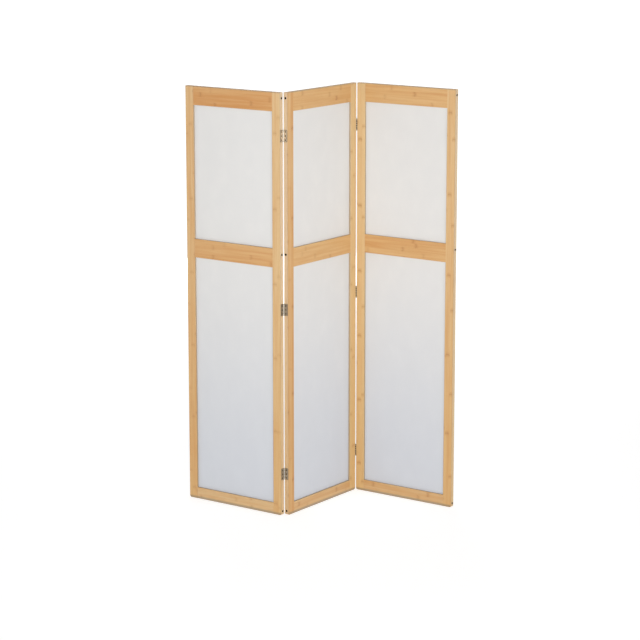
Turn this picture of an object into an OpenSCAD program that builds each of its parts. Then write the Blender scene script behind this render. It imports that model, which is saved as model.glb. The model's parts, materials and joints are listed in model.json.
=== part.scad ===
// Three-panel folding screen: bamboo frames with white inserts, joined by steel butt hinges.
// Millimetres, +Z up, origin on the floor under the middle of the centre panel, +X along the screen.
// The left panel folds against the back of the centre panel, the right one against its front.

/* [Panel] */
// Height of the screen
panel_h = 1800; // [1500:10:2100]
// Width of one panel
panel_w = 498; // [350:1:700]
// Thickness of the frame
panel_t = 19; // [14:0.5:24]
// Angle between neighbouring panels as the screen stands
stand_angle = 90; // [50:5:150]

/* [Stiles and rails] */
// Width of a stile
stile_w = 42; // [34:1:60]
// Height of the top rail
top_rail_h = 80; // [64:1:110]
// Height of the middle rail
mid_rail_h = 80; // [64:1:110]
// Height of the bottom rail
bottom_rail_h = 50; // [46:1:90]
// Open height between the top rail and the middle rail
upper_open_h = 572; // [300:1:800]
// Rounding of the long edges
edge_r = 1; // [0.5:0.1:2.5]
// Rounding of the edges at the ends of a piece
end_r = 0.8; // [0.3:0.1:1.5]
// Rounding of the outer bottom corner of a stile
foot_r = 10; // [3:1:18]

/* [Inserts] */
// Thickness of an insert
insert_t = 2; // [1:0.1:4]
// Depth of the groove that holds an insert
groove_depth = 8; // [5:0.5:10]
// Play between an insert's face and the side of its groove
insert_play = 1.5; // [0.1:0.1:2]
// Room beside an insert in its grooves; above it there is twice as much, because it stands on the rail
insert_room = 1; // [0.5:0.1:2]

/* [Frame joints] */
// Diameter of a dowel
dowel_d = 8; // [6:0.5:8.5]
// Length of a dowel
dowel_len = 40; // [30:1:50]
// Play round a dowel
dowel_play = 0.05; // [0.02:0.01:0.2]
// Diameter of a frame screw
frame_screw_d = 4.5; // [3.5:0.1:6]
// Length of a frame screw under its head
frame_screw_len = 60; // [50:1:80]
// Diameter of a frame screw's head
frame_head_d = 8.6; // [6.5:0.1:9.5]
// Height of a frame screw's head
frame_head_h = 3; // [2:0.1:4]
// Chamfer of a frame screw's head
frame_head_chamfer = 0.8; // [0.3:0.1:1.2]
// Play round a frame screw's head
frame_head_play = 0.4; // [0.1:0.1:0.5]
// Depth of the hole that sinks a frame screw
counterbore_depth = 12; // [8:0.5:16]
// From a rail's edge to its screw, and from its other edge to its dowel
joint_inset = 24; // [20:1:30]
// The same in the bottom rail
foot_joint_inset = 17; // [15:0.5:20]
// Play round a screw's shank
shank_play = 0.05; // [0.02:0.01:0.2]

/* [Hinges] */
// Length of a hinge
hinge_len = 50; // [40:1:70]
// Width of a leaf from the middle of the pin
leaf_w = 20; // [15:0.1:22]
// Thickness of a leaf
leaf_t = 0.8; // [0.7:0.1:1.4]
// Half the gap that is left between two leaves when a hinge is open flat
leaf_gap = 0.1; // [0.05:0.05:0.6]
// Corner rounding of a leaf
leaf_r = 2; // [0.5:0.1:3]
// Diameter of the pin
pin_d = 2; // [1.8:0.1:2.6]
// Radial play of the pin in its knuckles
pin_play = 0.05; // [0.02:0.01:0.1]
// How far the pin stands off the panel's face
pin_offset = 1.3; // [1.3:0.1:4]
// Number of knuckles in a barrel
knuckle_count = 5; // [3:2:7]
// Gap between neighbouring knuckles
knuckle_gap = 0.2; // [0.1:0.05:0.5]
// Gap between a leaf and the other leaf's knuckles
barrel_clearance = 0.35; // [0.2:0.05:0.8]
// Diameter of the pin's button end
button_d = 3.4; // [2.8:0.1:4]
// Height of the pin's button end
button_h = 0.8; // [0.5:0.1:1.5]
// Distance from the end of a panel to the middle of its outer hinge
hinge_inset = 180; // [100:5:300]
// How far the middle hinge sits below half height
mid_hinge_drop = 10; // [0:1:40]

/* [Hinge screws] */
// Diameter of a hinge screw
hinge_screw_d = 3; // [2.5:0.1:3.5]
// Length of a hinge screw with its head
hinge_screw_len = 16; // [12:1:20]
// Diameter of a hinge screw's head, which the leaf's hole and the wood under it are sunk for
hinge_head_d = 6; // [5:0.1:6.5]
// Number of screws in a leaf
hinge_screw_count = 3; // [2:1:3]
// Distance from one screw to the next
hinge_screw_pitch = 17; // [14:0.5:19]
// Play between a screw's head and its countersink
head_play = 0.05; // [0.02:0.01:0.1]

/* [All screws] */
// Width of the slots of a cross recess
recess_w = 0.7; // [0.4:0.1:1]
// Depth of a cross recess
recess_depth = 0.6; // [0.3:0.1:0.7]
// Length of a screw's tapered tip
tip_len = 3; // [2:0.5:5]
// Diameter at the end of the tip
tip_d = 0.8; // [0.4:0.1:1.2]
// Room past the end of a screw or dowel in its hole
end_room = 0.5; // [0.2:0.1:1]

/* [Hidden] */
$fn = 64;
edge_off = panel_t/2 + pin_offset;
end_gap = leaf_gap + leaf_t;
pin_x = panel_w/2 + end_gap;
fold = 180 - stand_angle;
open_w = panel_w - 2*stile_w;
mid_rail_z = panel_h - top_rail_h - upper_open_h - mid_rail_h;
top_rail_z = panel_h - top_rail_h;
lower_open_h = mid_rail_z - bottom_rail_h;
mid_rail_top = mid_rail_z + mid_rail_h;
insert_grip = groove_depth - insert_room;
knuckle_d = pin_d + 2*pin_play + 2*leaf_t;
knuckle_h = hinge_len/knuckle_count;
notch = knuckle_d/2 + barrel_clearance;
hinge_head_h = (hinge_head_d - hinge_screw_d)/2;
cut = 1;
hinge_z = [hinge_inset, panel_h/2 - mid_hinge_drop, panel_h - hinge_inset];
bottom = 0;
middle = 1;
top = 2;
screw_z = [foot_joint_inset, mid_rail_top - joint_inset, panel_h - joint_inset];
dowel_z = [bottom_rail_h - foot_joint_inset, mid_rail_z + joint_inset, top_rail_z + joint_inset];
outer_knuckles = [0:2:knuckle_count - 1];
centre_knuckles = [1:2:knuckle_count - 1];

// Places: a panel is drawn upright about its own middle, with its front towards -Y

module on_centre() {
    rotate(fold/2) children();
}

module on_left() {
    on_centre() translate([-pin_x, edge_off]) rotate(-fold) translate([-pin_x, -edge_off]) children();
}

module on_right() {
    on_centre() translate([pin_x, -edge_off]) rotate(-fold) translate([pin_x, edge_off]) children();
}

module mirrored(sx, sy = 1) {
    mirror([sx < 0 ? 1 : 0, 0, 0]) mirror([0, sy < 0 ? 1 : 0, 0]) children();
}

// A hinge is drawn about its pin, for a panel that lies on +X and -Y of it
module at_pin(sx, sy) {
    translate([sx*pin_x, sy*edge_off]) mirrored(-sx, sy) children();
}

// Shapes

// A rectangle about its own centre, with round corners
module rounded_rect(size, r) {
    square([size.x - 2*r, size.y], center = true);
    square([size.x, size.y - 2*r], center = true);
    for (sx = [-1, 1], sy = [-1, 1]) translate([sx*(size.x/2 - r), sy*(size.y/2 - r)]) circle(r);
}

// A bar from the origin along +X and +Z, as thick as the panel, with its edges eased
module upright_bar(w, h) {
    translate([w/2, 0, h/2]) intersection() {
        linear_extrude(h, center = true) rounded_rect([w, panel_t], edge_r);
        rotate([90, 0, 0]) linear_extrude(panel_t, center = true) rounded_rect([w, h], end_r);
        rotate([90, 0, 90]) linear_extrude(w, center = true) rounded_rect([panel_t, h], end_r);
    }
}

// The same with its length level, between two stiles
module level_bar(w, h) {
    translate([w/2, 0, h/2]) intersection() {
        rotate([90, 0, 90]) linear_extrude(w, center = true) rounded_rect([panel_t, h], edge_r);
        linear_extrude(h, center = true) rounded_rect([w, panel_t], end_r);
    }
}

// What is cut round each opening and through each joint, in a panel's own place

module grooves() {
    for (open = [[bottom_rail_h, lower_open_h], [mid_rail_top, upper_open_h]])
        translate([-open_w/2 - groove_depth, -insert_t/2 - insert_play, open[0] - groove_depth])
            cube([open_w + 2*groove_depth, insert_t + 2*insert_play, open[1] + 2*groove_depth]);
}

module joint_bores() {
    for (sx = [-1, 1]) mirrored(sx) {
        for (z = screw_z) translate([panel_w/2, 0, z]) rotate([0, -90, 0]) {
            translate([0, 0, -cut])
                cylinder(d = frame_head_d + 2*frame_head_play, h = counterbore_depth + cut);
            cylinder(d = frame_screw_d + 2*shank_play, h = counterbore_depth + frame_screw_len + end_room);
        }
        for (z = dowel_z) translate([panel_w/2 - stile_w, 0, z]) rotate([0, 90, 0])
            cylinder(d = dowel_d + 2*dowel_play, h = dowel_len + 2*end_room, center = true);
    }
}

// Pilot holes in the end face of a panel, countersunk where a leaf is thinner than a head
module hinge_bores(sx) {
    d = hinge_screw_d + 2*shank_play;
    sink = cut + hinge_head_h - leaf_t;
    mirrored(sx) for (z = hinge_z, dz = screw_rows()) translate([panel_w/2 + cut, 0, z + dz])
        rotate([0, -90, 0]) {
            cylinder(d = d, h = cut + hinge_screw_len - leaf_t + end_room);
            cylinder(d1 = d + 2*sink, d2 = d, h = sink);
        }
}

function screw_rows() =
    [for (i = [0:hinge_screw_count - 1]) (i - (hinge_screw_count - 1)/2)*hinge_screw_pitch];

// Frame

module stile(sx, hinged) {
    color("burlywood") difference() {
        mirrored(sx) translate([panel_w/2 - stile_w, 0, 0]) upright_bar(stile_w, panel_h);
        mirrored(sx) translate([panel_w/2 - foot_r, 0, foot_r]) rotate([90, 0, 0]) difference() {
            translate([0, -foot_r - cut, -panel_t/2 - cut])
                cube([foot_r + cut, foot_r + cut, panel_t + 2*cut]);
            translate([0, 0, -panel_t/2 - 2*cut]) cylinder(r = foot_r, h = panel_t + 4*cut);
        }
        grooves();
        joint_bores();
        if (hinged) hinge_bores(sx);
    }
}

module rail(z, h) {
    color("peru") difference() {
        translate([-open_w/2, 0, z]) level_bar(open_w, h);
        grooves();
        joint_bores();
    }
}

module insert(z, h) {
    color("whitesmoke") translate([-open_w/2 - insert_grip, -insert_t/2, z - groove_depth])
        cube([open_w + 2*insert_grip, insert_t, h + 2*insert_grip]);
}

module frame_screws() {
    color("dimgray") for (sx = [-1, 1]) mirrored(sx) for (z = screw_z)
        translate([panel_w/2 - counterbore_depth, 0, z]) rotate([0, 90, 0])
            screw(frame_screw_d, frame_screw_len, frame_head_h) pan_head();
}

module dowels() {
    color("tan") for (sx = [-1, 1]) mirrored(sx) for (z = dowel_z)
        translate([panel_w/2 - stile_w, 0, z]) rotate([0, 90, 0])
            cylinder(d = dowel_d, h = dowel_len, center = true);
}

// A screw points down from its seat at the origin, with its head as the child above
module screw(d, len, head_h) {
    difference() {
        union() {
            translate([0, 0, -len + tip_len]) cylinder(d = d, h = len - tip_len);
            translate([0, 0, -len]) cylinder(d1 = tip_d, d2 = d, h = tip_len);
            children();
        }
        for (a = [0, 90]) rotate(a) translate([-d/2, -recess_w/2, head_h - recess_depth])
            cube([d, recess_w, recess_depth + cut]);
    }
}

module pan_head() {
    cylinder(d = frame_head_d, h = frame_head_h - frame_head_chamfer);
    translate([0, 0, frame_head_h - frame_head_chamfer])
        cylinder(d1 = frame_head_d, d2 = frame_head_d - 2*frame_head_chamfer, h = frame_head_chamfer);
}

// Hinges

// The flat of a leaf, whose edge along the barrel stays square
module leaf_plate() {
    translate([leaf_gap, -leaf_w, -hinge_len/2]) rotate([90, 0, 90]) linear_extrude(leaf_t) {
        translate([(leaf_w - notch)/2, hinge_len/2]) rounded_rect([leaf_w - notch, hinge_len], leaf_r);
        translate([leaf_r, 0]) square([leaf_w - notch - leaf_r, hinge_len]);
    }
}

// One knuckle and the web that joins it to its leaf; the end knuckles reach the leaf's ends
module knuckle(i) {
    low = i == 0 ? 0 : knuckle_gap/2;
    high = i == knuckle_count - 1 ? 0 : knuckle_gap/2;
    translate([0, 0, -hinge_len/2 + i*knuckle_h + low]) {
        cylinder(d = knuckle_d, h = knuckle_h - low - high);
        translate([leaf_gap, -notch, 0]) cube([leaf_t, notch, knuckle_h - low - high]);
    }
}

module leaf(knuckles) {
    leaf_hole_d = hinge_head_d + 2*head_play;
    color("silver") difference() {
        union() {
            leaf_plate();
            for (i = knuckles) knuckle(i);
        }
        cylinder(d = pin_d + 2*pin_play, h = hinge_len + 2*cut, center = true);
        for (dz = screw_rows()) translate([leaf_gap, -edge_off, dz]) rotate([0, 90, 0])
            cylinder(d1 = leaf_hole_d, d2 = leaf_hole_d - 2*leaf_t, h = leaf_t);
    }
}

module hinge_pin() {
    color("gray") {
        cylinder(d = pin_d, h = hinge_len + 2*pin_play, center = true);
        for (s = [0, 1]) mirror([0, 0, s]) translate([0, 0, hinge_len/2 + pin_play]) {
            cylinder(d = button_d, h = button_h/2);
            translate([0, 0, button_h/2]) cylinder(d1 = button_d, d2 = pin_d, h = button_h/2);
        }
    }
}

module hinge_screws(sx, sy) {
    color("dimgray") for (z = hinge_z) at_pin(sx, sy) translate([0, 0, z])
        for (dz = screw_rows()) translate([leaf_gap + hinge_head_h, -edge_off, dz]) rotate([0, -90, 0])
            screw(hinge_screw_d, hinge_screw_len - hinge_head_h, hinge_head_h)
                cylinder(d1 = hinge_screw_d, d2 = hinge_head_d, h = hinge_head_h);
}

module outer_leaf(sx, sy, i) {
    at_pin(sx, sy) translate([0, 0, hinge_z[i]]) leaf(outer_knuckles);
}

module centre_leaf(sx, sy, i) {
    at_pin(sx, sy) translate([0, 0, hinge_z[i]]) leaf(centre_knuckles);
}

module pin(sx, sy, i) {
    at_pin(sx, sy) translate([0, 0, hinge_z[i]]) hinge_pin();
}

// Left panel
on_left() stile(-1, false);  // left_outer_stile
on_left() stile(1, true);  // left_hinge_stile
on_left() rail(top_rail_z, top_rail_h);  // left_top_rail
on_left() rail(mid_rail_z, mid_rail_h);  // left_mid_rail
on_left() rail(0, bottom_rail_h);  // left_bottom_rail
on_left() insert(mid_rail_top, upper_open_h);  // left_upper_insert
on_left() insert(bottom_rail_h, lower_open_h);  // left_lower_insert
on_left() frame_screws();  // left_frame_screws
on_left() dowels();  // left_dowels

// Centre panel
on_centre() stile(-1, true);  // centre_left_stile
on_centre() stile(1, true);  // centre_right_stile
on_centre() rail(top_rail_z, top_rail_h);  // centre_top_rail
on_centre() rail(mid_rail_z, mid_rail_h);  // centre_mid_rail
on_centre() rail(0, bottom_rail_h);  // centre_bottom_rail
on_centre() insert(mid_rail_top, upper_open_h);  // centre_upper_insert
on_centre() insert(bottom_rail_h, lower_open_h);  // centre_lower_insert
on_centre() frame_screws();  // centre_frame_screws
on_centre() dowels();  // centre_dowels

// Right panel
on_right() stile(-1, true);  // right_hinge_stile
on_right() stile(1, false);  // right_outer_stile
on_right() rail(top_rail_z, top_rail_h);  // right_top_rail
on_right() rail(mid_rail_z, mid_rail_h);  // right_mid_rail
on_right() rail(0, bottom_rail_h);  // right_bottom_rail
on_right() insert(mid_rail_top, upper_open_h);  // right_upper_insert
on_right() insert(bottom_rail_h, lower_open_h);  // right_lower_insert
on_right() frame_screws();  // right_frame_screws
on_right() dowels();  // right_dowels

// Hinges between the left and centre panels, with their pins behind the screen
on_left() outer_leaf(1, 1, top);  // left_top_hinge_outer_leaf
on_centre() centre_leaf(-1, 1, top);  // left_top_hinge_centre_leaf
on_left() pin(1, 1, top);  // left_top_hinge_pin
on_left() outer_leaf(1, 1, middle);  // left_mid_hinge_outer_leaf
on_centre() centre_leaf(-1, 1, middle);  // left_mid_hinge_centre_leaf
on_left() pin(1, 1, middle);  // left_mid_hinge_pin
on_left() outer_leaf(1, 1, bottom);  // left_bottom_hinge_outer_leaf
on_centre() centre_leaf(-1, 1, bottom);  // left_bottom_hinge_centre_leaf
on_left() pin(1, 1, bottom);  // left_bottom_hinge_pin

// Hinges between the centre and right panels, with their pins in front of the screen
on_right() outer_leaf(-1, -1, top);  // right_top_hinge_outer_leaf
on_centre() centre_leaf(1, -1, top);  // right_top_hinge_centre_leaf
on_right() pin(-1, -1, top);  // right_top_hinge_pin
on_right() outer_leaf(-1, -1, middle);  // right_mid_hinge_outer_leaf
on_centre() centre_leaf(1, -1, middle);  // right_mid_hinge_centre_leaf
on_right() pin(-1, -1, middle);  // right_mid_hinge_pin
on_right() outer_leaf(-1, -1, bottom);  // right_bottom_hinge_outer_leaf
on_centre() centre_leaf(1, -1, bottom);  // right_bottom_hinge_centre_leaf
on_right() pin(-1, -1, bottom);  // right_bottom_hinge_pin

// Hinge screws
on_left() hinge_screws(1, 1);  // left_hinge_screws
on_centre() hinge_screws(-1, 1);  // centre_left_hinge_screws
on_centre() hinge_screws(1, -1);  // centre_right_hinge_screws
on_right() hinge_screws(-1, -1);  // right_hinge_screws
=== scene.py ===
"""Finishes, floor, lamps and camera for a three-panel bamboo folding screen."""

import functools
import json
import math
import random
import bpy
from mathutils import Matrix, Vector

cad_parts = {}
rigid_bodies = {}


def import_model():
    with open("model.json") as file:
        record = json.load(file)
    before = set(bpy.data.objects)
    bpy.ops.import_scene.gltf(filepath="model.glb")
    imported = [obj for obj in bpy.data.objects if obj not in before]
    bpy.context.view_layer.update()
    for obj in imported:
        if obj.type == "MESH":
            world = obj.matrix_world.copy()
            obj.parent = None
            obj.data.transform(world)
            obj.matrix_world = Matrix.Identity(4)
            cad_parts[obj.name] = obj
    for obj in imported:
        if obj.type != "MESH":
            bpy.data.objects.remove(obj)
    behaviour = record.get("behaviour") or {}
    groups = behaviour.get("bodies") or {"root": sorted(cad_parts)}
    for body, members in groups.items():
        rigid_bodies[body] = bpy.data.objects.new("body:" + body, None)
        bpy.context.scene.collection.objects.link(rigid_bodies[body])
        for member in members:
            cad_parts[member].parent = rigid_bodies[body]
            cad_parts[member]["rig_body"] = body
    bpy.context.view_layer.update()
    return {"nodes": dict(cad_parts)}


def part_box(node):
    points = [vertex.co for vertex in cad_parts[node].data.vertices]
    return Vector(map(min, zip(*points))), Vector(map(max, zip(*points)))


bl_info = {
    "name": "Folding screen",
    "version": (1, 0, 0),
    "blender": (4, 5, 0),
    "location": "View3D > Sidebar > Folding screen",
    "description": "Finishes the pieces of a bamboo folding screen and sets up its stage",
    "category": "Object",
}

import bmesh
import bpy
from bpy.props import FloatProperty, FloatVectorProperty, IntProperty, PointerProperty
from mathutils import Euler, Matrix, Vector

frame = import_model()

MM = 0.001
BACKGROUND = (1.0, 1.0, 1.0)


# Where the pieces are


def panel_turn(panel):
    """How far a panel is turned about Z, read from its own two stiles."""
    names = [n for n in frame["nodes"] if n.startswith(panel) and n.endswith("_stile")]
    middles = sorted((middle(n) for n in names), key=lambda m: m.x)
    along = middles[1] - middles[0]
    return math.atan2(along.y, along.x)


def middle(node):
    """The middle of a node's box."""
    low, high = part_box(node)
    return (low + high) / 2


def node_panel(node):
    """The panel that a node rides with."""
    body = frame["nodes"][node]["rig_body"]
    return body.removesuffix("_panel")


def nodes_ending(*ends):
    """The nodes whose names end so, in order of name."""
    return [n for n in sorted(frame["nodes"]) if n.endswith(ends)]


# Node graphs


VECTOR, NUMBER, COLOUR = "NodeSocketVector", "NodeSocketFloat", "NodeSocketColor"


class Graph:
    """Short calls that build a shader graph."""

    def __init__(self, tree):
        self.tree = tree

    def node(self, kind, inputs=None, **settings):
        """Adds a node with its settings, and feeds its inputs."""
        made = self.tree.nodes.new(kind)
        for name, value in settings.items():
            setattr(made, name, value)
        for key, value in (inputs or {}).items():
            self.feed(made.inputs[key], value)
        return made

    def feed(self, socket, value):
        """Links an input to an output, or gives it a value."""
        if isinstance(value, bpy.types.NodeSocket):
            self.tree.links.new(value, socket)
        else:
            socket.default_value = value

    def math(self, operation, a, b=0.0, c=0.0):
        return self.node("ShaderNodeMath", {0: a, 1: b, 2: c}, operation=operation).outputs[0]

    def along(self, operation, values):
        """Takes an operation along a row of numbers."""
        return functools.reduce(functools.partial(self.math, operation), values)

    def length(self, *sides):
        """Length of a vector from its sides."""
        squares = [self.math("MULTIPLY", side, side) for side in sides]
        return self.math("SQRT", self.along("ADD", squares))

    def between(self, value, start, end, low=0.0, high=1.0):
        """Turns start to end into low to high, smoothly and with no overshoot."""
        inputs = {"Value": value, "From Min": start, "From Max": end, "To Min": low, "To Max": high}
        made = self.node("ShaderNodeMapRange", inputs, interpolation_type="SMOOTHSTEP")
        return made.outputs["Result"]

    def spread(self, value, low, high):
        """Turns 0 to 1 into low to high."""
        return self.math("MULTIPLY_ADD", value, high - low, low)

    def around(self, value, centre, width):
        """Turns 0 to 1 into a width about a centre."""
        return self.math("MULTIPLY_ADD", value, width, centre - width / 2)

    def millimetres(self, shift=(0.0, 0.0, 0.0), turn=(0.0, 0.0, 0.0)):
        """Object coordinates in millimetres, turned and then shifted."""
        inputs = {
            "Vector": self.node("ShaderNodeTexCoord").outputs["Object"],
            "Location": shift,
            "Rotation": turn,
            "Scale": (1 / MM,) * 3,
        }
        return self.node("ShaderNodeMapping", inputs).outputs["Vector"]

    def stretch(self, vector, size):
        """Divides a vector in millimetres by the size of a pattern's cell."""
        inputs = {0: vector, 1: tuple(1 / s for s in size)}
        return self.node("ShaderNodeVectorMath", inputs, operation="MULTIPLY").outputs[0]

    def noise(self, vector, size, detail=2.0):
        """Soft noise about 0.5, in cells of that size."""
        inputs = {"Vector": self.stretch(vector, size), "Scale": 1.0, "Detail": detail}
        return self.node("ShaderNodeTexNoise", inputs).outputs["Fac"]

    def dots(self, vector, size):
        """Distance from the nearest of many scattered points, in cells."""
        inputs = {"Vector": self.stretch(vector, size), "Scale": 1.0}
        return self.node("ShaderNodeTexVoronoi", inputs).outputs["Distance"]

    def tint(self, factor, base, colour):
        """Goes from a base to a colour as the factor rises."""
        return self.mix("MIX", {"Factor": factor, "A": base, "B": colour})

    def layers(self, colour, *layers):
        """Lays colours over a base in turn, each where its mask shows and up to its share."""
        for mask, share, over in layers:
            colour = self.tint(self.math("MULTIPLY", mask, share), colour, rgba(over))
        return colour

    def mix(self, blend, inputs):
        """Blends two colours, with the inputs that this kind of mix shows."""
        made = self.node("ShaderNodeMix", data_type="RGBA", blend_type=blend)
        for name, value in inputs.items():
            socket = next(s for s in made.inputs if s.name == name and s.enabled)
            self.feed(socket, value)
        return next(s for s in made.outputs if s.enabled)

    def join(self, x, y, z):
        return self.node("ShaderNodeCombineXYZ", {0: x, 1: y, 2: z}).outputs[0]

    def split(self, vector):
        return self.node("ShaderNodeSeparateXYZ", {0: vector}).outputs

    def bump(self, height, depth):
        inputs = {"Height": height, "Distance": depth, "Strength": 1.0}
        return self.node("ShaderNodeBump", inputs).outputs["Normal"]


def rgba(colour):
    """A colour that covers fully."""
    return (*colour, 1.0)


def new_group(name, inputs, outputs):
    """An empty node group with those sockets, and the graph that fills it."""
    group = bpy.data.node_groups.new(name, "ShaderNodeTree")
    for socket, kind in inputs:
        group.interface.new_socket(socket, in_out="INPUT", socket_type=kind)
    for socket, kind in outputs:
        group.interface.new_socket(socket, in_out="OUTPUT", socket_type=kind)
    graph = Graph(group)
    given = graph.node("NodeGroupInput").outputs
    wanted = graph.node("NodeGroupOutput").inputs
    return group, graph, given, wanted


def clear_graph(owner):
    """The emptied node graph of a material or a world."""
    owner.use_nodes = True
    owner.node_tree.nodes.clear()
    return Graph(owner.node_tree)


def new_material(name):
    """A material whose only shader is a Principled one, and its graph."""
    material = bpy.data.materials.new(name)
    graph = clear_graph(material)
    shader = graph.node("ShaderNodeBsdfPrincipled")
    graph.node("ShaderNodeOutputMaterial", {"Surface": shader.outputs["BSDF"]})
    return material, graph, shader


def wear(node, material):
    """Gives a CAD node its material."""
    for slot in frame["nodes"][node].material_slots:
        slot.link = "OBJECT"
        slot.material = material


# Bamboo


# Which board of the pile each piece is cut from, picked for the tone of the real piece
BOARDS = {
    "left_outer_stile": 32,
    "left_hinge_stile": 48,
    "centre_left_stile": 36,
    "centre_right_stile": 84,
    "right_hinge_stile": 69,
    "right_outer_stile": 52,
    "left_top_rail": 33,
    "left_mid_rail": 91,
    "left_bottom_rail": 47,
    "centre_top_rail": 22,
    "centre_mid_rail": 67,
    "centre_bottom_rail": 5,
    "right_top_rail": 4,
    "right_mid_rail": 81,
    "right_bottom_rail": 37,
}

# Width and length of the pile in strip widths, and its boards' tones from palest to deepest
PILE = 90
BOARD_TONES = (-0.72, 0.04)

# How far at most a seam lies from a piece's middle, in strips, and wanders, in millimetres
SEAM_SHIFT = 0.3
SEAM_WANDER = 1.0

# Cells of the patterns, in millimetres across a strip, through a ply and along the grain
SEAM_WANDER_CELL = (400, 400, 400)
RAGGED_CELL = (5, 5, 9)
STREAK_CELL = (1.6, 1.6, 130)
CLOUD_CELL = (10, 9, 260)
FIBRE_CELL = (0.85, 0.85, 28)

# Closest and widest joints of a strip as shares of their usual spacing, the faintest joint, and
# in millimetres how far joints are shifted from strip to strip and how ragged they are
JOINT_PITCH = (0.8, 1.2)
FAINTEST_JOINT = 0.25
JOINT_SHIFT = 2000.0
JOINT_RAGGED = 2.5

# Bow of a joint, in millimetres at a strip's width from the strip's middle
JOINT_BOW = 12.0

# Where masks start and where they are full: in millimetres from a joint, in cells from a fibre,
# in strips or plies from a seam
JOINT_LINE = (1.8, 0.5)
JOINT_PATCH = (15.0, 2.0)
FIBRE = (0.30, 0.14)
STRIP_SEAM = (0.02, 0.006)
PLY_SEAM = (0.05, 0.02)

# The same for a face, by the share of its normal that points along an axis
SQUARE_ON = (0.5, 0.8)

# The same for the rims of painted shade at a panel's foot, top and sides: in millimetres from a
# board's middle to its arris, and in shares of their reach from the edge
ARRIS = (6.5, 9.0)
SOLE_FADE = (1.0, 0.4)
TOP_FADE = (0.7, 0.2)
SIDE_FADE = (0.6, 0.15)

# How far outside a bore its painted shade fades
BORE_FADE = 0.3 * MM

# How much the patterns deepen the wood's colour and roughen it, and how far they stand up from
# its face as shares of the relief
SHADE_DEPTH = 0.22
STREAK_DEPTH = 0.36
CLOUD_DEPTH = 0.95
STREAK_ROUGHNESS = 0.12
STREAK_HEIGHT = 0.35
FIBRE_HEIGHT = -0.5
JOINT_HEIGHT = -0.6


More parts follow.
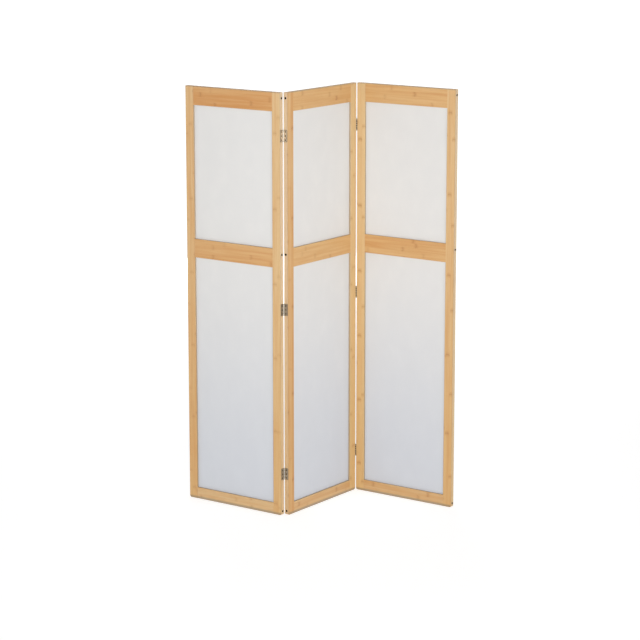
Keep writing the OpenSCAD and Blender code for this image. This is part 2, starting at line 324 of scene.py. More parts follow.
class BambooSettings(bpy.types.PropertyGroup):
    """Sizes and colours of the bamboo boards"""

    strip_width: FloatProperty(
        name="Strip width",
        description="Width of a bamboo strip in a board",
        default=20 * MM,
        unit="LENGTH",
    )
    ply_thickness: FloatProperty(
        name="Ply thickness",
        description="Thickness of one layer of strips",
        default=6.35 * MM,
        unit="LENGTH",
    )
    joint_spacing: FloatProperty(
        name="Joint spacing",
        description="Usual distance between the joints of a strip",
        default=0.34,
        unit="LENGTH",
    )
    relief: FloatProperty(
        name="Relief",
        description="Depth of the grain under the lacquer",
        default=0.06 * MM,
        unit="LENGTH",
    )
    roughness: FloatProperty(
        name="Roughness",
        description="Roughness of the boards",
        default=0.46,
        min=0.0,
        max=1.0,
        subtype="FACTOR",
    )
    edge_roughness: FloatProperty(
        name="Edge roughness",
        description="How much rougher edges and ends are",
        default=0.45,
        min=0.0,
        max=1.0,
        subtype="FACTOR",
    )
    lacquer: FloatProperty(
        name="Lacquer",
        description="Weight of the clear lacquer",
        default=0.04,
        min=0.0,
        max=1.0,
        subtype="FACTOR",
    )
    lacquer_roughness: FloatProperty(
        name="Lacquer roughness",
        description="Roughness of the clear lacquer",
        default=0.3,
        min=0.0,
        max=1.0,
        subtype="FACTOR",
    )
    stile_width: FloatProperty(
        name="Stile width", description="Width of a stile", default=42 * MM, unit="LENGTH"
    )
    bore: FloatProperty(
        name="Bore",
        description="Diameter of the hole over a frame screw",
        default=9.4 * MM,
        unit="LENGTH",
    )
    screw_head: FloatProperty(
        name="Screw head",
        description="Diameter of a frame screw's head",
        default=8.6 * MM,
        unit="LENGTH",
    )
    screw_inset: FloatProperty(
        name="Screw inset",
        description="From the middle rail's top to its screw",
        default=24 * MM,
        unit="LENGTH",
    )
    stile_pale: FloatVectorProperty(
        name="Pale stile",
        description="Palest colour of a stile",
        default=(0.98, 0.76, 0.415),
        subtype="COLOR",
    )
    stile_deep: FloatVectorProperty(
        name="Deep stile",
        description="Deepest colour of a stile",
        default=(0.80, 0.43, 0.15),
        subtype="COLOR",
    )
    rail_pale: FloatVectorProperty(
        name="Pale rail",
        description="Palest colour of a rail",
        default=(0.95, 0.66, 0.31),
        subtype="COLOR",
    )
    rail_deep: FloatVectorProperty(
        name="Deep rail",
        description="Deepest colour of a rail",
        default=(0.75, 0.35, 0.10),
        subtype="COLOR",
    )
    # Painted shade: below its start height a stile deepens towards the floor, standing in for the
    # light falling off there
    foot_shade: FloatVectorProperty(
        name="Foot tone",
        description="How a stile's colour deepens towards the floor",
        default=(0.99, 0.92, 0.78),
        subtype="COLOR",
    )
    shade_from: FloatProperty(
        name="Fade from",
        description="Height where a stile starts to deepen",
        default=1.5,
        unit="LENGTH",
    )
    joint_colour: FloatVectorProperty(
        name="Joint",
        description="Colour round a joint of the culm",
        default=(0.56, 0.225, 0.055),
        subtype="COLOR",
    )
    patch_tone: FloatProperty(
        name="Patch tone",
        description="How far the wood browns round a joint",
        default=0.40,
        min=0.0,
        max=1.0,
        subtype="FACTOR",
    )
    line_colour: FloatVectorProperty(
        name="Line",
        description="Colour of fibres, seams and joint lines",
        default=(0.34, 0.145, 0.045),
        subtype="COLOR",
    )
    joint_tone: FloatProperty(
        name="Joint tone",
        description="How far the line at a joint darkens",
        default=0.50,
        min=0.0,
        max=1.0,
        subtype="FACTOR",
    )
    fibre_tone: FloatProperty(
        name="Fibre tone",
        description="How far the fibres darken",
        default=0.20,
        min=0.0,
        max=1.0,
        subtype="FACTOR",
    )
    seam_tone: FloatProperty(
        name="Seam tone",
        description="How far the seams darken",
        default=0.40,
        min=0.0,
        max=1.0,
        subtype="FACTOR",
    )
    end_tone: FloatProperty(
        name="End tone",
        description="How far the end grain browns",
        default=0.45,
        min=0.0,
        max=1.0,
        subtype="FACTOR",
    )
    # The narrow edges take a darker, greyer colour: partly the laminate's own edge, partly painted
    # shade on the tops and sides of the boards, which get little light
    edge_and_shade_tone: FloatProperty(
        name="Edge tone",
        description="How far the boards' edges take their own colour",
        default=0.7,
        min=0.0,
        max=1.0,
        subtype="FACTOR",
    )
    edge_and_shade_colour: FloatVectorProperty(
        name="Edge",
        description="Colour of the boards' narrow edges",
        default=(0.62, 0.50, 0.36),
        subtype="COLOR",
    )
    # Painted shade: the edges beside the inserts darken, standing in for the shadow in the grooves
    # that hold them
    reveal_shade_tone: FloatProperty(
        name="Reveal tone",
        description="How far the edges beside the inserts darken",
        default=0.8,
        min=0.0,
        max=1.0,
        subtype="FACTOR",
    )
    reveal_shade_colour: FloatVectorProperty(
        name="Reveal",
        description="Colour of the edges beside the inserts",
        default=(0.42, 0.30, 0.19),
        subtype="COLOR",
    )
    # Painted shade: the rims darken a panel's arrises at its top, at its sides and most at the
    # floor, standing in for the shade there
    rim: FloatProperty(
        name="Rim",
        description="Reach of the dark arrises at a panel's top and sides",
        default=7 * MM,
        unit="LENGTH",
    )
    rim_tone: FloatProperty(
        name="Rim tone",
        description="How far a panel's top edge darkens",
        default=0.6,
        min=0.0,
        max=1.0,
        subtype="FACTOR",
    )
    side_shade_tone: FloatProperty(
        name="Side tone",
        description="How far a panel's side edges darken",
        default=0.35,
        min=0.0,
        max=1.0,
        subtype="FACTOR",
    )
    sole: FloatProperty(
        name="Sole",
        description="Height of the dark arrises at the floor",
        default=14 * MM,
        unit="LENGTH",
    )
    sole_shade_tone: FloatProperty(
        name="Sole tone",
        description="How far the wood darkens at the floor",
        default=0.9,
        min=0.0,
        max=1.0,
        subtype="FACTOR",
    )
    rim_shade_colour: FloatVectorProperty(
        name="Rim colour",
        description="Colour of the dark arrises",
        default=(0.36, 0.27, 0.17),
        subtype="COLOR",
    )
    # Painted shade: the walls of the drilled holes are made nearly black, far darker than their raw
    # wood, standing in for the shade inside the hole
    bore_shade_colour: FloatVectorProperty(
        name="Bore colour",
        description="Colour inside a drilled hole",
        default=(0.012, 0.006, 0.003),
        subtype="COLOR",
    )


def bamboo_group(bamboo):
    """Laminated bamboo in millimetres: X across the strips, Y through the plies, Z along them."""
    group, g, given, wanted = new_group(
        "laminated_bamboo",
        [(name, VECTOR) for name in ("Place", "Facing")]
        + [(name, NUMBER) for name in ("Board", "Reveal", "Rim", "Bore")]
        + [(name, COLOUR) for name in ("Pale", "Deep")],
        [("Colour", COLOUR), ("Roughness", NUMBER), ("Normal", VECTOR)],
    )
    grain = bamboo_grain(g, given["Place"], bamboo)
    sideways, _, endways = g.split(given["Facing"])
    edge = square_on(g, g.math("ABSOLUTE", sideways))
    end = square_on(g, g.math("ABSOLUTE", endways))

    depth = g.math("MULTIPLY_ADD", grain["shade"], SHADE_DEPTH, given["Board"])
    depth = g.math("MULTIPLY_ADD", grain["streak"], STREAK_DEPTH, depth)
    depth = g.math("MULTIPLY_ADD", grain["cloud"], CLOUD_DEPTH, depth)
    # The reveal, rim and bore layers are painted shade, and the edge layer is partly painted shade
    colour = g.layers(
        g.tint(g.between(depth, 0.0, 1.0), given["Pale"], given["Deep"]),
        (grain["patch"], bamboo.patch_tone, bamboo.joint_colour),
        (grain["joint"], bamboo.joint_tone, bamboo.line_colour),
        (grain["fibre"], bamboo.fibre_tone, bamboo.line_colour),
        (grain["seam"], bamboo.seam_tone, bamboo.line_colour),
        (edge, bamboo.edge_and_shade_tone, bamboo.edge_and_shade_colour),
        (end, bamboo.end_tone, bamboo.joint_colour),
        (given["Reveal"], bamboo.reveal_shade_tone, bamboo.reveal_shade_colour),
        (given["Rim"], 1.0, bamboo.rim_shade_colour),
        (given["Bore"], 1.0, bamboo.bore_shade_colour),
    )
    g.feed(wanted["Colour"], colour)

    rough = g.around(grain["streak"], bamboo.roughness, STREAK_ROUGHNESS)
    rough = g.math("MULTIPLY_ADD", g.math("MAXIMUM", edge, end), bamboo.edge_roughness, rough)
    g.feed(wanted["Roughness"], g.math("MAXIMUM", rough, given["Bore"]))
    height = g.math("MULTIPLY", grain["fibre"], FIBRE_HEIGHT)
    height = g.math("MULTIPLY_ADD", grain["streak"], STREAK_HEIGHT, height)
    height = g.math("SUBTRACT", height, grain["seam"])
    height = g.math("MULTIPLY_ADD", grain["joint"], JOINT_HEIGHT, height)
    g.feed(wanted["Normal"], g.bump(height, bamboo.relief))
    return group


def bamboo_grain(g, place, bamboo):
    """The patterns of laminated bamboo by name, each from 0 to 1."""
    across, through = count_strips(g, place, bamboo)
    shade, start, pitch, boldness = strip_luck(g, across, through)
    away = away_from_joint(g, place, across, start, pitch, bamboo)
    boldness = g.spread(boldness, FAINTEST_JOINT, 1.0)
    strip_seam = g.between(g.math("PINGPONG", across, 0.5), *STRIP_SEAM)
    ply_seam = g.between(g.math("PINGPONG", through, 0.5), *PLY_SEAM)
    return {
        "shade": shade,
        "joint": g.math("MULTIPLY", g.between(away, *JOINT_LINE), boldness),
        "patch": g.math("MULTIPLY", g.between(away, *JOINT_PATCH), boldness),
        "streak": g.noise(place, STREAK_CELL, detail=3.0),
        "cloud": g.noise(place, CLOUD_CELL),
        "fibre": g.between(g.dots(place, FIBRE_CELL), *FIBRE),
        "seam": g.math("MAXIMUM", strip_seam, ply_seam),
    }


def count_strips(g, place, bamboo):
    """Counts strips across a board and plies through it, with a seam at each whole number."""
    x, y, _ = g.split(place)
    wander = g.spread(g.noise(place, SEAM_WANDER_CELL, detail=0.0), -SEAM_WANDER, SEAM_WANDER)
    across = g.math("DIVIDE", g.math("ADD", x, wander), bamboo.strip_width / MM)
    ply = bamboo.ply_thickness / MM
    through = g.math("MULTIPLY_ADD", y, 1 / ply, 0.5)
    return across, through


def strip_luck(g, across, through):
    """Four random numbers from 0 to 1 for each strip of each ply."""
    strip = g.join(g.math("FLOOR", across), g.math("FLOOR", through), 0.5)
    luck = g.node("ShaderNodeTexWhiteNoise", {"Vector": strip}, noise_dimensions="3D").outputs
    return *g.split(luck["Color"]), luck["Value"]


def away_from_joint(g, place, across, start, pitch, bamboo):
    """Millimetres along a strip to its nearest joint, a ragged line that bows across the strip."""
    z = g.split(place)[2]
    bow = g.math("POWER", g.math("SUBTRACT", g.math("FRACT", across), 0.5), 2.0)
    ragged = g.spread(g.noise(place, RAGGED_CELL), -JOINT_RAGGED, JOINT_RAGGED)
    closest, widest = (share * bamboo.joint_spacing / MM for share in JOINT_PITCH)
    spacing = g.spread(pitch, closest, widest)
    cycle = g.math("DIVIDE", g.math("MULTIPLY_ADD", start, JOINT_SHIFT, z), spacing)
    away = g.math("SUBTRACT", g.math("FRACT", cycle), 0.5)
    away = g.math("MULTIPLY", away, spacing)
    away = g.math("ADD", g.math("MULTIPLY_ADD", bow, JOINT_BOW, away), ragged)
    return g.math("ABSOLUTE", away)


def square_on(g, facing):
    """1 on faces that point along an axis, from a normal's share along it."""
    return g.between(facing, *SQUARE_ON)


def pick_board(seed, strip_width):
    """Where in the pile of boards a piece is cut, with a seam near its middle, and its tone."""
    chance = random.Random(seed)
    strip = chance.randrange(PILE) + chance.uniform(-SEAM_SHIFT, SEAM_SHIFT)
    offset = Vector((strip, 0, chance.uniform(0, PILE))) * strip_width
    return offset, chance.uniform(*BOARD_TONES)


def bamboo_material(node, group, bamboo, pale, deep):
    """The finish of one stile or rail, with strips and joints of its own."""
    stile = node.endswith("_stile")
    upright = Matrix.Rotation(-panel_turn(node_panel(node)), 3, "Z")
    turn = upright if stile else Matrix.Rotation(math.radians(-90), 3, "Y") @ upright
    offset, tone = pick_board(BOARDS[node], bamboo.strip_width)

    material, g, shader = new_material("bamboo_" + node)
    place = g.millimetres((offset - turn @ middle(node)) / MM, turn.to_euler())
    source = g.node("ShaderNodeTexCoord").outputs
    height = g.split(source["Object"])[2]
    inputs = {"Vector": source["Normal"], "Rotation": turn.to_euler()}
    facing = g.node("ShaderNodeMapping", inputs, vector_type="VECTOR").outputs["Vector"]
    inputs = {
        "Place": place,
        "Facing": facing,
        "Board": tone,
        "Reveal": reveal_shade_mask(g, node, turn, facing),
        "Rim": rim_shade_mask(g, node, turn, offset, place, height, bamboo),
        "Bore": bore_shade_mask(g, node, place, height, bamboo) if stile else 0.0,
        "Pale": rgba(pale),
        "Deep": rgba(deep),
    }
    board = g.node("ShaderNodeGroup", inputs, node_tree=group).outputs
    colour = board["Colour"]
    # Painted shade: the stile's colour deepens towards the floor, where the light falls off
    if stile:
        low = g.between(height, bamboo.shade_from, 0.0)
        colour = g.mix("MULTIPLY", {"Factor": low, "A": colour, "B": rgba(bamboo.foot_shade)})
    g.feed(shader.inputs["Base Color"], colour)
    g.feed(shader.inputs["Roughness"], board["Roughness"])
    g.feed(shader.inputs["Normal"], board["Normal"])
    shader.inputs["Coat Weight"].default_value = bamboo.lacquer
    shader.inputs["Coat Roughness"].default_value = bamboo.lacquer_roughness
    return material


def inward_side(node, turn):
    """1 or -1: the side of a board, in its own turned frame, on which its panel's middle lies."""
    rail = middle(node_panel(node) + "_mid_rail")
    return math.copysign(1.0, (turn @ (rail - middle(node))).x)


def reveal_shade_mask(g, node, turn, facing):
    """1 on the edges of a board that face an insert, which are darkened with painted shade, and 0
    on its other faces.
    """
    inward = g.split(facing)[0]
    if node.endswith("_mid_rail"):
        inward = g.math("ABSOLUTE", inward)
    else:
        inward = g.math("MULTIPLY", inward, inward_side(node, turn))
    return square_on(g, inward)


def rim_shade_mask(g, node, turn, offset, place, height, bamboo):
    """Painted shade on the arrises round a panel: strong at the floor, faint at its top and its
    sides.
    """
    x, y, _ = g.split(place)
    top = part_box(node_panel(node) + "_top_rail")[1].z
    rims = [
        rim_fade(g, height, 0.0, -bamboo.sole, SOLE_FADE, bamboo.sole_shade_tone),
        rim_fade(g, height, top, bamboo.rim, TOP_FADE, bamboo.rim_tone),
    ]
    if node.endswith("_stile"):
        side = inward_side(node, turn)
        outward = g.math("MULTIPLY_ADD", x, -side * MM, side * offset.x)
        edge = bamboo.stile_width / 2
        rims.append(rim_fade(g, outward, edge, bamboo.rim, SIDE_FADE, bamboo.side_shade_tone))
    from_face = g.between(g.math("ABSOLUTE", y), *ARRIS)
    return g.math("MULTIPLY", g.along("MAXIMUM", rims), from_face)


def rim_fade(g, place, edge, reach, shares, tone):
    """Rises to a tone towards an edge, between two shares of the reach back from it."""
    start, full = (edge - share * reach for share in shares)
    return g.between(place, start, full, 0.0, tone)


def bore_shade_mask(g, node, place, height, bamboo):
    """1 inside the counterbores of a stile, whose raw walls are painted nearly black as the hole's
    shade, and 0 on its faces.
    """
    panel = node_panel(node)
    low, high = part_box(panel + "_frame_screws")
    head = bamboo.screw_head / 2
    mid_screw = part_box(panel + "_mid_rail")[1].z - bamboo.screw_inset
    screws = (low.z + head, mid_screw, high.z - head)
    gaps = [g.math("ABSOLUTE", g.math("SUBTRACT", height, screw)) for screw in screws]
    through = g.math("MULTIPLY", g.split(place)[1], MM)
    radius = g.length(g.along("MINIMUM", gaps), through)
    return g.between(radius, bamboo.bore / 2 + BORE_FADE, bamboo.bore / 2)


class SCREEN_OT_finish_frames(bpy.types.Operator):
    """Gives each stile and rail its own board of laminated bamboo"""

    bl_idname = "screen.finish_frames"
    bl_label = "Finish the frames"

    def execute(self, context):
        bamboo = context.scene.screen_bamboo
        group = bamboo_group(bamboo)
        for node in nodes_ending("_stile", "_bottom_rail"):
            wear(node, bamboo_material(node, group, bamboo, bamboo.stile_pale, bamboo.stile_deep))
        for node in nodes_ending("_top_rail", "_mid_rail"):
            wear(node, bamboo_material(node, group, bamboo, bamboo.rail_pale, bamboo.rail_deep))
        return {"FINISHED"}


# Inserts


# Lengths of an insert's fibres in fibre widths, and the size of its clouds in millimetres
UPRIGHT_FIBRE = 14
LEVEL_FIBRE = 12
SHEET_CLOUD_CELL = (60, 60, 90)

# How much fibres and clouds lighten an insert from its shaded tone, and how rough it is
SHADED_TONE = -0.5
FELT_TONE = 0.6
SHEET_CLOUD_TONE = 0.8
SHEET_ROUGHNESS = (0.62, 0.78)


class InsertSettings(bpy.types.PropertyGroup):
    """Sizes and colours of the inserts' faces"""

    colour: FloatVectorProperty(
        name="Colour",
        description="Colour of the sheet",
        default=(0.80, 0.785, 0.76),
        subtype="COLOR",
    )
    shaded: FloatVectorProperty(
        name="Shaded",
        description="Colour between the fibres",
        default=(0.74, 0.73, 0.715),
        subtype="COLOR",
    )
    # Painted shade: below its start height the sheet darkens and cools towards the floor, standing
    # in for the light falling off there
    foot_shade: FloatVectorProperty(
        name="Foot tone",
        description="How the colour fades towards the floor",
        default=(0.86, 0.90, 0.98),
        subtype="COLOR",
    )
    shade_from: FloatProperty(
        name="Fade from", description="Height where the fade starts", default=1.2, unit="LENGTH"
    )
    fibre: FloatProperty(
        name="Fibre", description="Width of a fibre", default=0.35 * MM, unit="LENGTH"
    )
    relief: FloatProperty(
        name="Relief", description="Depth of the fibres", default=0.04 * MM, unit="LENGTH"
    )


def insert_material(sheet):
    """A matt white face of fine fibres, pressed in upright and level, with painted shade that
    darkens and cools it towards the floor.
    """
    material, g, shader = new_material("white_insert_face")
    place = g.millimetres()
    fibre = sheet.fibre / MM
    upright = g.noise(place, (fibre, fibre, UPRIGHT_FIBRE * fibre))
    level = g.noise(place, (LEVEL_FIBRE * fibre, LEVEL_FIBRE * fibre, fibre))
    felt = g.math("MAXIMUM", upright, level)
    cloud = g.noise(place, SHEET_CLOUD_CELL, detail=3.0)
    depth = g.math("MULTIPLY_ADD", felt, FELT_TONE, SHADED_TONE)
    depth = g.math("MULTIPLY_ADD", cloud, SHEET_CLOUD_TONE, depth)
    colour = g.tint(g.between(depth, 0.0, 1.0), rgba(sheet.shaded), rgba(sheet.colour))
    # Painted shade: darker and cooler towards the floor, where the light falls off
    low = g.between(g.split(place)[2], sheet.shade_from / MM, 0.0)
    colour = g.mix("MULTIPLY", {"Factor": low, "A": colour, "B": rgba(sheet.foot_shade)})
    g.feed(shader.inputs["Base Color"], colour)
    g.feed(shader.inputs["Roughness"], g.spread(felt, *SHEET_ROUGHNESS))
    g.feed(shader.inputs["Normal"], g.bump(felt, sheet.relief))
    return material


class SCREEN_OT_finish_inserts(bpy.types.Operator):
    """Gives the inserts a matt white face of fine pressed fibres"""

    bl_idname = "screen.finish_inserts"
    bl_label = "Finish the inserts"

    def execute(self, context):
        material = insert_material(context.scene.screen_insert)
        for node in nodes_ending("_insert"):
            wear(node, material)
        return {"FINISHED"}


# Metal


# Length of the scratches in scratch widths, their depth, and how much they roughen metal
SCRATCH_LENGTH = 60
SCRATCH_DEPTH = 0.01 * MM
SCRATCH_ROUGHNESS = 0.18

# Size of the tarnish's clouds in millimetres, where in them it starts and is full, how much of
# its colour the metal keeps there, and how much they roughen it
TARNISH_CELL = (3.5, 3.5, 5.0)
TARNISH = (0.45, 0.75)
TARNISH_KEEPS = 0.42
TARNISH_ROUGHNESS = 0.12

# Where masks on a hinge start and are full, in millimetres from the pin or from a knuckle's end,
# and the width of the dark rim at a leaf's ends
LEAF_SIDE = (16.5, 19.5)
BARREL = (2.7, 2.0)
KNUCKLE_END = (3.7, 2.8)
LEAF_END = 3.0

# How far each hinge line's barrels take a painted highlight, and how far painted shade fills their
# joints
BARREL_HIGHLIGHT_AND_SHADE = {"left": (0.95, 0.15), "right": (0.4, 1.0)}


class MetalSettings(bpy.types.PropertyGroup):
    """Sizes and colours of the hinges and screws"""

    leaf_colour: FloatVectorProperty(
        name="Leaf",
        description="Colour of the plated hinge leaves",
        default=(0.50, 0.42, 0.32),
        subtype="COLOR",
    )
    shine: FloatVectorProperty(
        name="Shine",
        description="How bright the top, middle and bottom hinges have stayed",
        default=(1.14, 0.82, 0.98),
    )
    grime_colour: FloatVectorProperty(
        name="Grime",
        description="Colour of the leaves' dark rims",
        default=(0.10, 0.075, 0.045),
        subtype="COLOR",
    )
    rim_tone: FloatProperty(
        name="Rim tone",
        description="How far the leaves' rims darken",
        default=0.7,
        min=0.0,
        max=1.0,
        subtype="FACTOR",
    )
    # Painted highlight: the barrel's bright colour stands in for light caught on it
    barrel_highlight_colour: FloatVectorProperty(
        name="Barrel",
        description="Colour where the barrel's plating is rubbed bright",
        default=(0.70, 0.68, 0.63),
        subtype="COLOR",
    )
    # Painted shade: the dark colour in the barrel's joints stands in for the shade between the
    # knuckles
    joint_shade_colour: FloatVectorProperty(
        name="Joint dirt",
        description="Colour of the dirt in the barrel's joints",
        default=(0.012, 0.006, 0.002),
        subtype="COLOR",
    )
    pin_colour: FloatVectorProperty(
        name="Pin",
        description="Colour of the hinge pins",
        default=(0.58, 0.53, 0.44),
        subtype="COLOR",
    )
    screw_colour: FloatVectorProperty(
        name="Hinge screw",
        description="Colour of the hinge screws",
        default=(0.07, 0.06, 0.048),
        subtype="COLOR",
    )
    black_colour: FloatVectorProperty(
        name="Frame screw",
        description="Colour of the frame screws",
        default=(0.02, 0.018, 0.016),
        subtype="COLOR",
    )
    hinge_length: FloatProperty(
        name="Hinge length", description="Length of a hinge", default=50 * MM, unit="LENGTH"
    )
    knuckles: IntProperty(name="Knuckles", description="Knuckles in a barrel", default=5)
    scratch: FloatProperty(
        name="Scratch", description="Width of a scratch", default=0.12 * MM, unit="LENGTH"
    )


def plating(g, shader, colour, metal, roughness):
    """Fine scratches along the pin and a cloudy tarnish, whose colour it gives back."""
    place = g.millimetres()
    scratch = metal.scratch / MM
    brushed = g.noise(place, (scratch, scratch, SCRATCH_LENGTH * scratch), detail=3.0)
    tarnish = g.noise(place, TARNISH_CELL, detail=3.0)
    rough = g.around(brushed, roughness, SCRATCH_ROUGHNESS)
    rough = g.math("MULTIPLY_ADD", tarnish, TARNISH_ROUGHNESS, rough)
    g.feed(shader.inputs["Roughness"], rough)
    g.feed(shader.inputs["Normal"], g.bump(brushed, SCRATCH_DEPTH))
    dull = [TARNISH_KEEPS * c for c in colour]
    return g.tint(g.between(tarnish, *TARNISH), rgba(colour), rgba(dull))


def metal_material(name, colour, metal, roughness, metallic=1.0):
    """The same plating all over a piece."""
    material, g, shader = new_material(name)
    g.feed(shader.inputs["Base Color"], plating(g, shader, colour, metal, roughness))
    shader.inputs["Metallic"].default_value = metallic
    return material


def leaf_material(hinge, pin, metal):
    """Tarnished leaves, dark at their rims, and a barrel with a painted highlight between joints of
    painted shade.
    """
    line, height, _ = hinge.split("_")
    shine = metal.shine[("top", "mid", "bottom").index(height)]
    material, g, shader = new_material("plated_" + hinge)
    colour = plating(g, shader, [shine * c for c in metal.leaf_colour], metal, roughness=0.36)

    x, y, z = g.split(g.millimetres(-pin / MM))
    radius = g.length(x, y)
    half = metal.hinge_length / MM / 2
    end = g.between(g.math("ABSOLUTE", z), half - LEAF_END, half)
    rim = g.math("MAXIMUM", end, g.between(radius, *LEAF_SIDE))
    barrel = g.between(radius, *BARREL)
    half_knuckle = half / metal.knuckles
    from_end = g.math("PINGPONG", g.math("ADD", z, half), half_knuckle)
    shading = g.math("MULTIPLY", barrel, g.between(from_end, *KNUCKLE_END))
    # Painted highlight on the barrel and painted shade in its joints, set apart for each hinge line
    highlit, joint_shade = BARREL_HIGHLIGHT_AND_SHADE[line]
    colour = g.layers(
        colour,
        (rim, metal.rim_tone, metal.grime_colour),
        (barrel, highlit, metal.barrel_highlight_colour),
        (shading, joint_shade, metal.joint_shade_colour),
    )
    g.feed(shader.inputs["Base Color"], colour)
    shader.inputs["Metallic"].default_value = 1.0
    return material


class SCREEN_OT_finish_hinges(bpy.types.Operator):
    """Gives the hinge leaves and pins their worn plating, with a painted highlight on the barrels
    and painted shade in their joints
    """

    bl_idname = "screen.finish_hinges"
    bl_label = "Finish the hinges"

    def execute(self, context):
        metal = context.scene.screen_metal
        pin = metal_material("pin_nickel", metal.pin_colour, metal, roughness=0.30)
        for node in nodes_ending("_hinge_pin"):
            wear(node, pin)
            hinge = node.removesuffix("_pin")
            leaf = leaf_material(hinge, middle(node), metal)
            wear(hinge + "_outer_leaf", leaf)
            wear(hinge + "_centre_leaf", leaf)
        return {"FINISHED"}


class SCREEN_OT_finish_screws(bpy.types.Operator):
    """Gives the hinge screws dull zinc and the frame screws black oxide"""

    bl_idname = "screen.finish_screws"
    bl_label = "Finish the screws"

    def execute(self, context):
        metal = context.scene.screen_metal
        zinc = metal_material("dull_zinc", metal.screw_colour, metal, roughness=0.42)
        for node in nodes_ending("_hinge_screws"):
            wear(node, zinc)
        black = metal_material(
            "black_oxide", metal.black_colour, metal, roughness=0.5, metallic=0.6
        )
        for node in nodes_ending("_frame_screws"):
            wear(node, black)
        return {"FINISHED"}


# Dowels


# Cells of a dowel's grain and pores in millimetres, where a pore starts and is full in cells from
# its middle, how far it darkens, and the dowel's roughness and relief
DOWEL_GRAIN_CELL = (6.0, 6.0, 0.7)
PORE_CELL = (1.5, 1.5, 0.5)
PORE = (0.3, 0.1)
PORE_TONE = 0.4
DOWEL_ROUGHNESS = (0.6, 0.75)
DOWEL_RELIEF = 0.05 * MM


class DowelSettings(bpy.types.PropertyGroup):
    """Colours of the dowels"""

    pale: FloatVectorProperty(
        name="Pale dowel",
        description="Palest colour of a dowel",
        default=(0.62, 0.40, 0.20),
        subtype="COLOR",
    )
    deep: FloatVectorProperty(
        name="Deep dowel",
        description="Deepest colour of a dowel",
        default=(0.52, 0.31, 0.14),
        subtype="COLOR",
    )
    pore_colour: FloatVectorProperty(
        name="Pore",
        description="Colour of the open pores",
        default=(0.28, 0.16, 0.07),
        subtype="COLOR",
    )


def dowel_material(dowel):
    """Turned hardwood with a fine open grain."""
    material, g, shader = new_material("dowel_beech")
    place = g.millimetres()
    grain = g.noise(place, DOWEL_GRAIN_CELL, detail=3.0)
    pores = g.between(g.dots(place, PORE_CELL), *PORE)
    colour = g.tint(grain, rgba(dowel.pale), rgba(dowel.deep))
    colour = g.layers(colour, (pores, PORE_TONE, dowel.pore_colour))
    g.feed(shader.inputs["Base Color"], colour)
    g.feed(shader.inputs["Roughness"], g.spread(grain, *DOWEL_ROUGHNESS))
    g.feed(shader.inputs["Normal"], g.bump(grain, DOWEL_RELIEF))
    return material


class SCREEN_OT_finish_dowels(bpy.types.Operator):
    """Gives the dowels plain hardwood"""

    bl_idname = "screen.finish_dowels"
    bl_label = "Finish the dowels"

    def execute(self, context):
        material = dowel_material(context.scene.screen_dowel)
        for node in nodes_ending("_dowels"):
            wear(node, material)
        return {"FINISHED"}


# Stage


# Where the room starts to dim and where it is dimmest, from level 0 to overhead 1
ROOM_DIMS = (0.1, 0.8)

# Width of the camera's film in millimetres, and the furthest that it sees in metres
FILM_WIDTH = 36.0
FURTHEST_SIGHT = 100.0


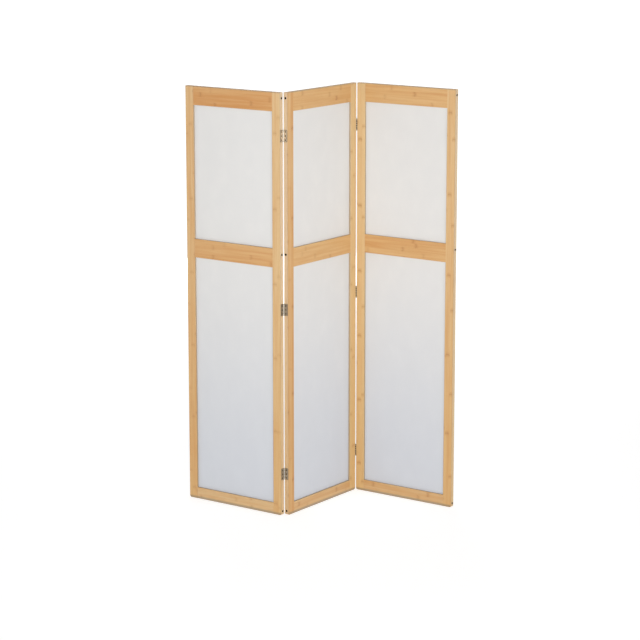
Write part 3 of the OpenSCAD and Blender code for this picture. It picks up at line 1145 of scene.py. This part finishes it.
class StageSettings(bpy.types.PropertyGroup):
    """Camera, lamps, room and floor"""

    azimuth: FloatProperty(
        name="Azimuth",
        description="Camera's side of the front",
        default=math.radians(-9.35),
        subtype="ANGLE",
    )
    elevation: FloatProperty(
        name="Elevation",
        description="Camera's height as an angle",
        default=math.radians(11.7),
        subtype="ANGLE",
    )
    distance: FloatProperty(
        name="Distance", description="Camera to aim", default=9.81, unit="LENGTH"
    )
    aim: FloatVectorProperty(
        name="Aim",
        description="Point in the middle of the view",
        default=(-0.006, -0.018, 0.809),
        subtype="XYZ",
    )
    lens: FloatProperty(
        name="Lens", description="Focal length in millimetres", default=129.4, unit="CAMERA"
    )
    daylight: FloatVectorProperty(
        name="Daylight", description="Light of the room", default=(1.0, 1.0, 1.0), subtype="COLOR"
    )
    overhead: FloatProperty(
        name="Overhead",
        description="Light from overhead as a share of the light from the sides",
        default=0.25,
        min=0.0,
        max=1.0,
        subtype="FACTOR",
    )
    floor_size: FloatProperty(
        name="Floor size", description="Side of the floor", default=400.0, unit="LENGTH"
    )
    floor_colour: FloatVectorProperty(
        name="Floor colour",
        description="Colour of the floor under the lamps",
        default=(0.5, 0.5, 0.5),
        subtype="COLOR",
    )
    floor_light: FloatProperty(
        name="Floor light", description="Light that the floor gives of itself", default=0.42
    )
    near_glow: FloatProperty(
        name="Near glow", description="Glow of the floor by the screen, where seen", default=0.722
    )
    near_reach: FloatProperty(
        name="Near reach",
        description="Distance to which the near glow reaches",
        default=2.0,
        unit="LENGTH",
    )
    far_glow: FloatProperty(
        name="Far glow", description="Glow of the floor far away, where seen", default=0.96
    )
    far_start: FloatProperty(
        name="Far start",
        description="Distance at which the far glow is reached",
        default=7.0,
        unit="LENGTH",
    )
    key_power: FloatProperty(
        name="Key power",
        description="Power of each narrow lamp in watts",
        default=2.5,
        unit="POWER",
    )
    key_colour: FloatVectorProperty(
        name="Key colour",
        description="Colour of the narrow lamps",
        default=(1.0, 1.0, 1.0),
        subtype="COLOR",
    )
    key_size: FloatProperty(
        name="Key size", description="Side of each narrow lamp", default=1.5, unit="LENGTH"
    )
    key_spread: FloatProperty(
        name="Key spread",
        description="Angle of a narrow lamp's beam",
        default=math.radians(46),
        subtype="ANGLE",
    )
    key_place: FloatVectorProperty(
        name="Key place",
        description="Where the front narrow lamp hangs",
        default=(-0.8, -4.5, 2.2),
        subtype="XYZ",
    )
    key_aim: FloatVectorProperty(
        name="Key aim",
        description="Where the front narrow lamp points",
        default=(-0.12, 0.0, 1.4),
        subtype="XYZ",
    )
    fill_power: FloatProperty(
        name="Fill power",
        description="Power of each wide lamp in watts",
        default=126.0,
        unit="POWER",
    )
    fill_colour: FloatVectorProperty(
        name="Fill colour",
        description="Colour of the wide lamps",
        default=(1.0, 1.0, 1.0),
        subtype="COLOR",
    )
    fill_size: FloatProperty(
        name="Fill size", description="Side of each wide lamp", default=2.5, unit="LENGTH"
    )
    fill_place: FloatVectorProperty(
        name="Fill place",
        description="Where the front wide lamp hangs",
        default=(0.0, -6.0, 1.3),
        subtype="XYZ",
    )
    fill_aim: FloatVectorProperty(
        name="Fill aim",
        description="Where the front wide lamp points",
        default=(0.0, 0.0, 0.9),
        subtype="XYZ",
    )


def seen_directly(g):
    """1 for rays that show the background itself, in the view or in metal and glass."""
    path = g.node("ShaderNodeLightPath").outputs
    rays = ("Is Camera Ray", "Is Glossy Ray", "Is Transmission Ray")
    return g.along("MAXIMUM", [path[ray] for ray in rays])


def build_room(stage):
    """Pale light from all sides, dim overhead, with a white background where it is seen."""
    world = bpy.data.worlds.new("room")
    bpy.context.scene.world = world
    g = clear_graph(world)
    height = g.split(g.node("ShaderNodeTexCoord").outputs["Generated"])[2]
    dim = g.between(height, *ROOM_DIMS, 1.0, stage.overhead)
    colour = g.tint(seen_directly(g), rgba(stage.daylight), rgba(BACKGROUND))
    colour = g.mix("MULTIPLY", {"Factor": 1.0, "A": colour, "B": g.join(dim, dim, dim)})
    in_view = g.node("ShaderNodeLightPath").outputs["Is Camera Ray"]
    colour = g.tint(in_view, colour, rgba(BACKGROUND))
    light = g.node("ShaderNodeBackground", {"Color": colour, "Strength": 1.0})
    g.node("ShaderNodeOutputWorld", {"Surface": light.outputs[0]})


def build_floor(stage):
    """A plain pale floor."""
    mesh = bpy.data.meshes.new("floor")
    shape = bmesh.new()
    bmesh.ops.create_grid(shape, x_segments=1, y_segments=1, size=stage.floor_size / 2)
    shape.to_mesh(mesh)
    shape.free()
    floor = bpy.data.objects.new("floor", mesh)
    bpy.context.scene.collection.objects.link(floor)
    mesh.materials.append(floor_material(stage))


def floor_material(stage):
    """Glows nearly white where it is seen, and keeps a faint shadow of the screen."""
    material = bpy.data.materials.new("pale_floor")
    g = clear_graph(material)
    lit = g.node("ShaderNodeBsdfDiffuse", {"Color": rgba(stage.floor_colour)})
    place = g.node("ShaderNodeTexCoord").outputs["Object"]
    distance = g.node("ShaderNodeVectorMath", {0: place}, operation="LENGTH").outputs["Value"]
    reach = (stage.near_reach, stage.far_start)
    shown = g.between(distance, *reach, stage.near_glow, stage.far_glow)
    extra = g.math("SUBTRACT", shown, stage.floor_light)
    glow = g.math("MULTIPLY_ADD", seen_directly(g), extra, stage.floor_light)
    glow = g.node("ShaderNodeEmission", {"Color": rgba(BACKGROUND), "Strength": glow})
    both = g.node("ShaderNodeAddShader", {0: lit.outputs[0], 1: glow.outputs[0]})
    g.node("ShaderNodeOutputMaterial", {"Surface": both.outputs[0]})
    return material


def aimed(name, data, place, aim):
    """A lamp or camera at a place, looking at a point."""
    made = bpy.data.objects.new(name, data)
    bpy.context.scene.collection.objects.link(made)
    made.location = place
    made.rotation_euler = (Vector(aim) - Vector(place)).to_track_quat("-Z", "Y").to_euler()
    return made


def on_side(place, side):
    """A place in front of the screen, or with side -1 the same place behind it."""
    x, y, z = place
    return x * side, y * side, z


def build_lamps(stage):
    """In front and behind, a narrow lamp for the upper part and a wide one for all of it."""
    for name, side in (("front", 1), ("back", -1)):
        key = bpy.data.lights.new(name + "_key", "AREA")
        key.energy = stage.key_power
        key.color = stage.key_colour
        key.size = stage.key_size
        key.spread = stage.key_spread
        aimed(key.name, key, on_side(stage.key_place, side), on_side(stage.key_aim, side))
        fill = bpy.data.lights.new(name + "_fill", "AREA")
        fill.energy = stage.fill_power
        fill.color = stage.fill_colour
        fill.size = stage.fill_size
        aimed(fill.name, fill, on_side(stage.fill_place, side), on_side(stage.fill_aim, side))


def build_camera(stage):
    """Stands at an angle and a distance from its aim."""
    camera = bpy.data.cameras.new("camera")
    camera.sensor_width = FILM_WIDTH
    camera.lens = stage.lens
    camera.clip_end = FURTHEST_SIGHT
    away = Euler((-stage.elevation, 0, stage.azimuth)).to_matrix() @ Vector((0, -1, 0))
    aim = Vector(stage.aim)
    bpy.context.scene.camera = aimed("camera", camera, aim + away * stage.distance, aim)


class SCREEN_OT_build_stage(bpy.types.Operator):
    """Makes the pale floor, the background, the lamps and the camera"""

    bl_idname = "screen.build_stage"
    bl_label = "Build the stage"

    def execute(self, context):
        stage = context.scene.screen_stage
        build_room(stage)
        build_floor(stage)
        build_lamps(stage)
        build_camera(stage)
        context.scene.view_settings.view_transform = "Standard"
        return {"FINISHED"}


# The add-on


class SCREEN_PT_panel(bpy.types.Panel):
    """Lists the steps that finish the screen"""

    bl_idname = "SCREEN_PT_panel"
    bl_label = "Folding screen"
    bl_space_type = "VIEW_3D"
    bl_region_type = "UI"
    bl_category = "Folding screen"

    def draw(self, context):
        for operator in OPERATORS:
            self.layout.operator(operator.bl_idname)


SETTINGS = {
    "screen_bamboo": BambooSettings,
    "screen_insert": InsertSettings,
    "screen_metal": MetalSettings,
    "screen_dowel": DowelSettings,
    "screen_stage": StageSettings,
}
OPERATORS = (
    SCREEN_OT_build_stage,
    SCREEN_OT_finish_frames,
    SCREEN_OT_finish_inserts,
    SCREEN_OT_finish_hinges,
    SCREEN_OT_finish_screws,
    SCREEN_OT_finish_dowels,
)


def register():
    for kind in (*SETTINGS.values(), *OPERATORS, SCREEN_PT_panel):
        bpy.utils.register_class(kind)
    for name, kind in SETTINGS.items():
        setattr(bpy.types.Scene, name, PointerProperty(type=kind))


def unregister():
    for name in SETTINGS:
        delattr(bpy.types.Scene, name)
    for kind in reversed((*SETTINGS.values(), *OPERATORS, SCREEN_PT_panel)):
        bpy.utils.unregister_class(kind)


def main():
    register()
    for operator in OPERATORS:
        area, name = operator.bl_idname.split(".")
        getattr(getattr(bpy.ops, area), name)()


if __name__ == "__main__":
    main()
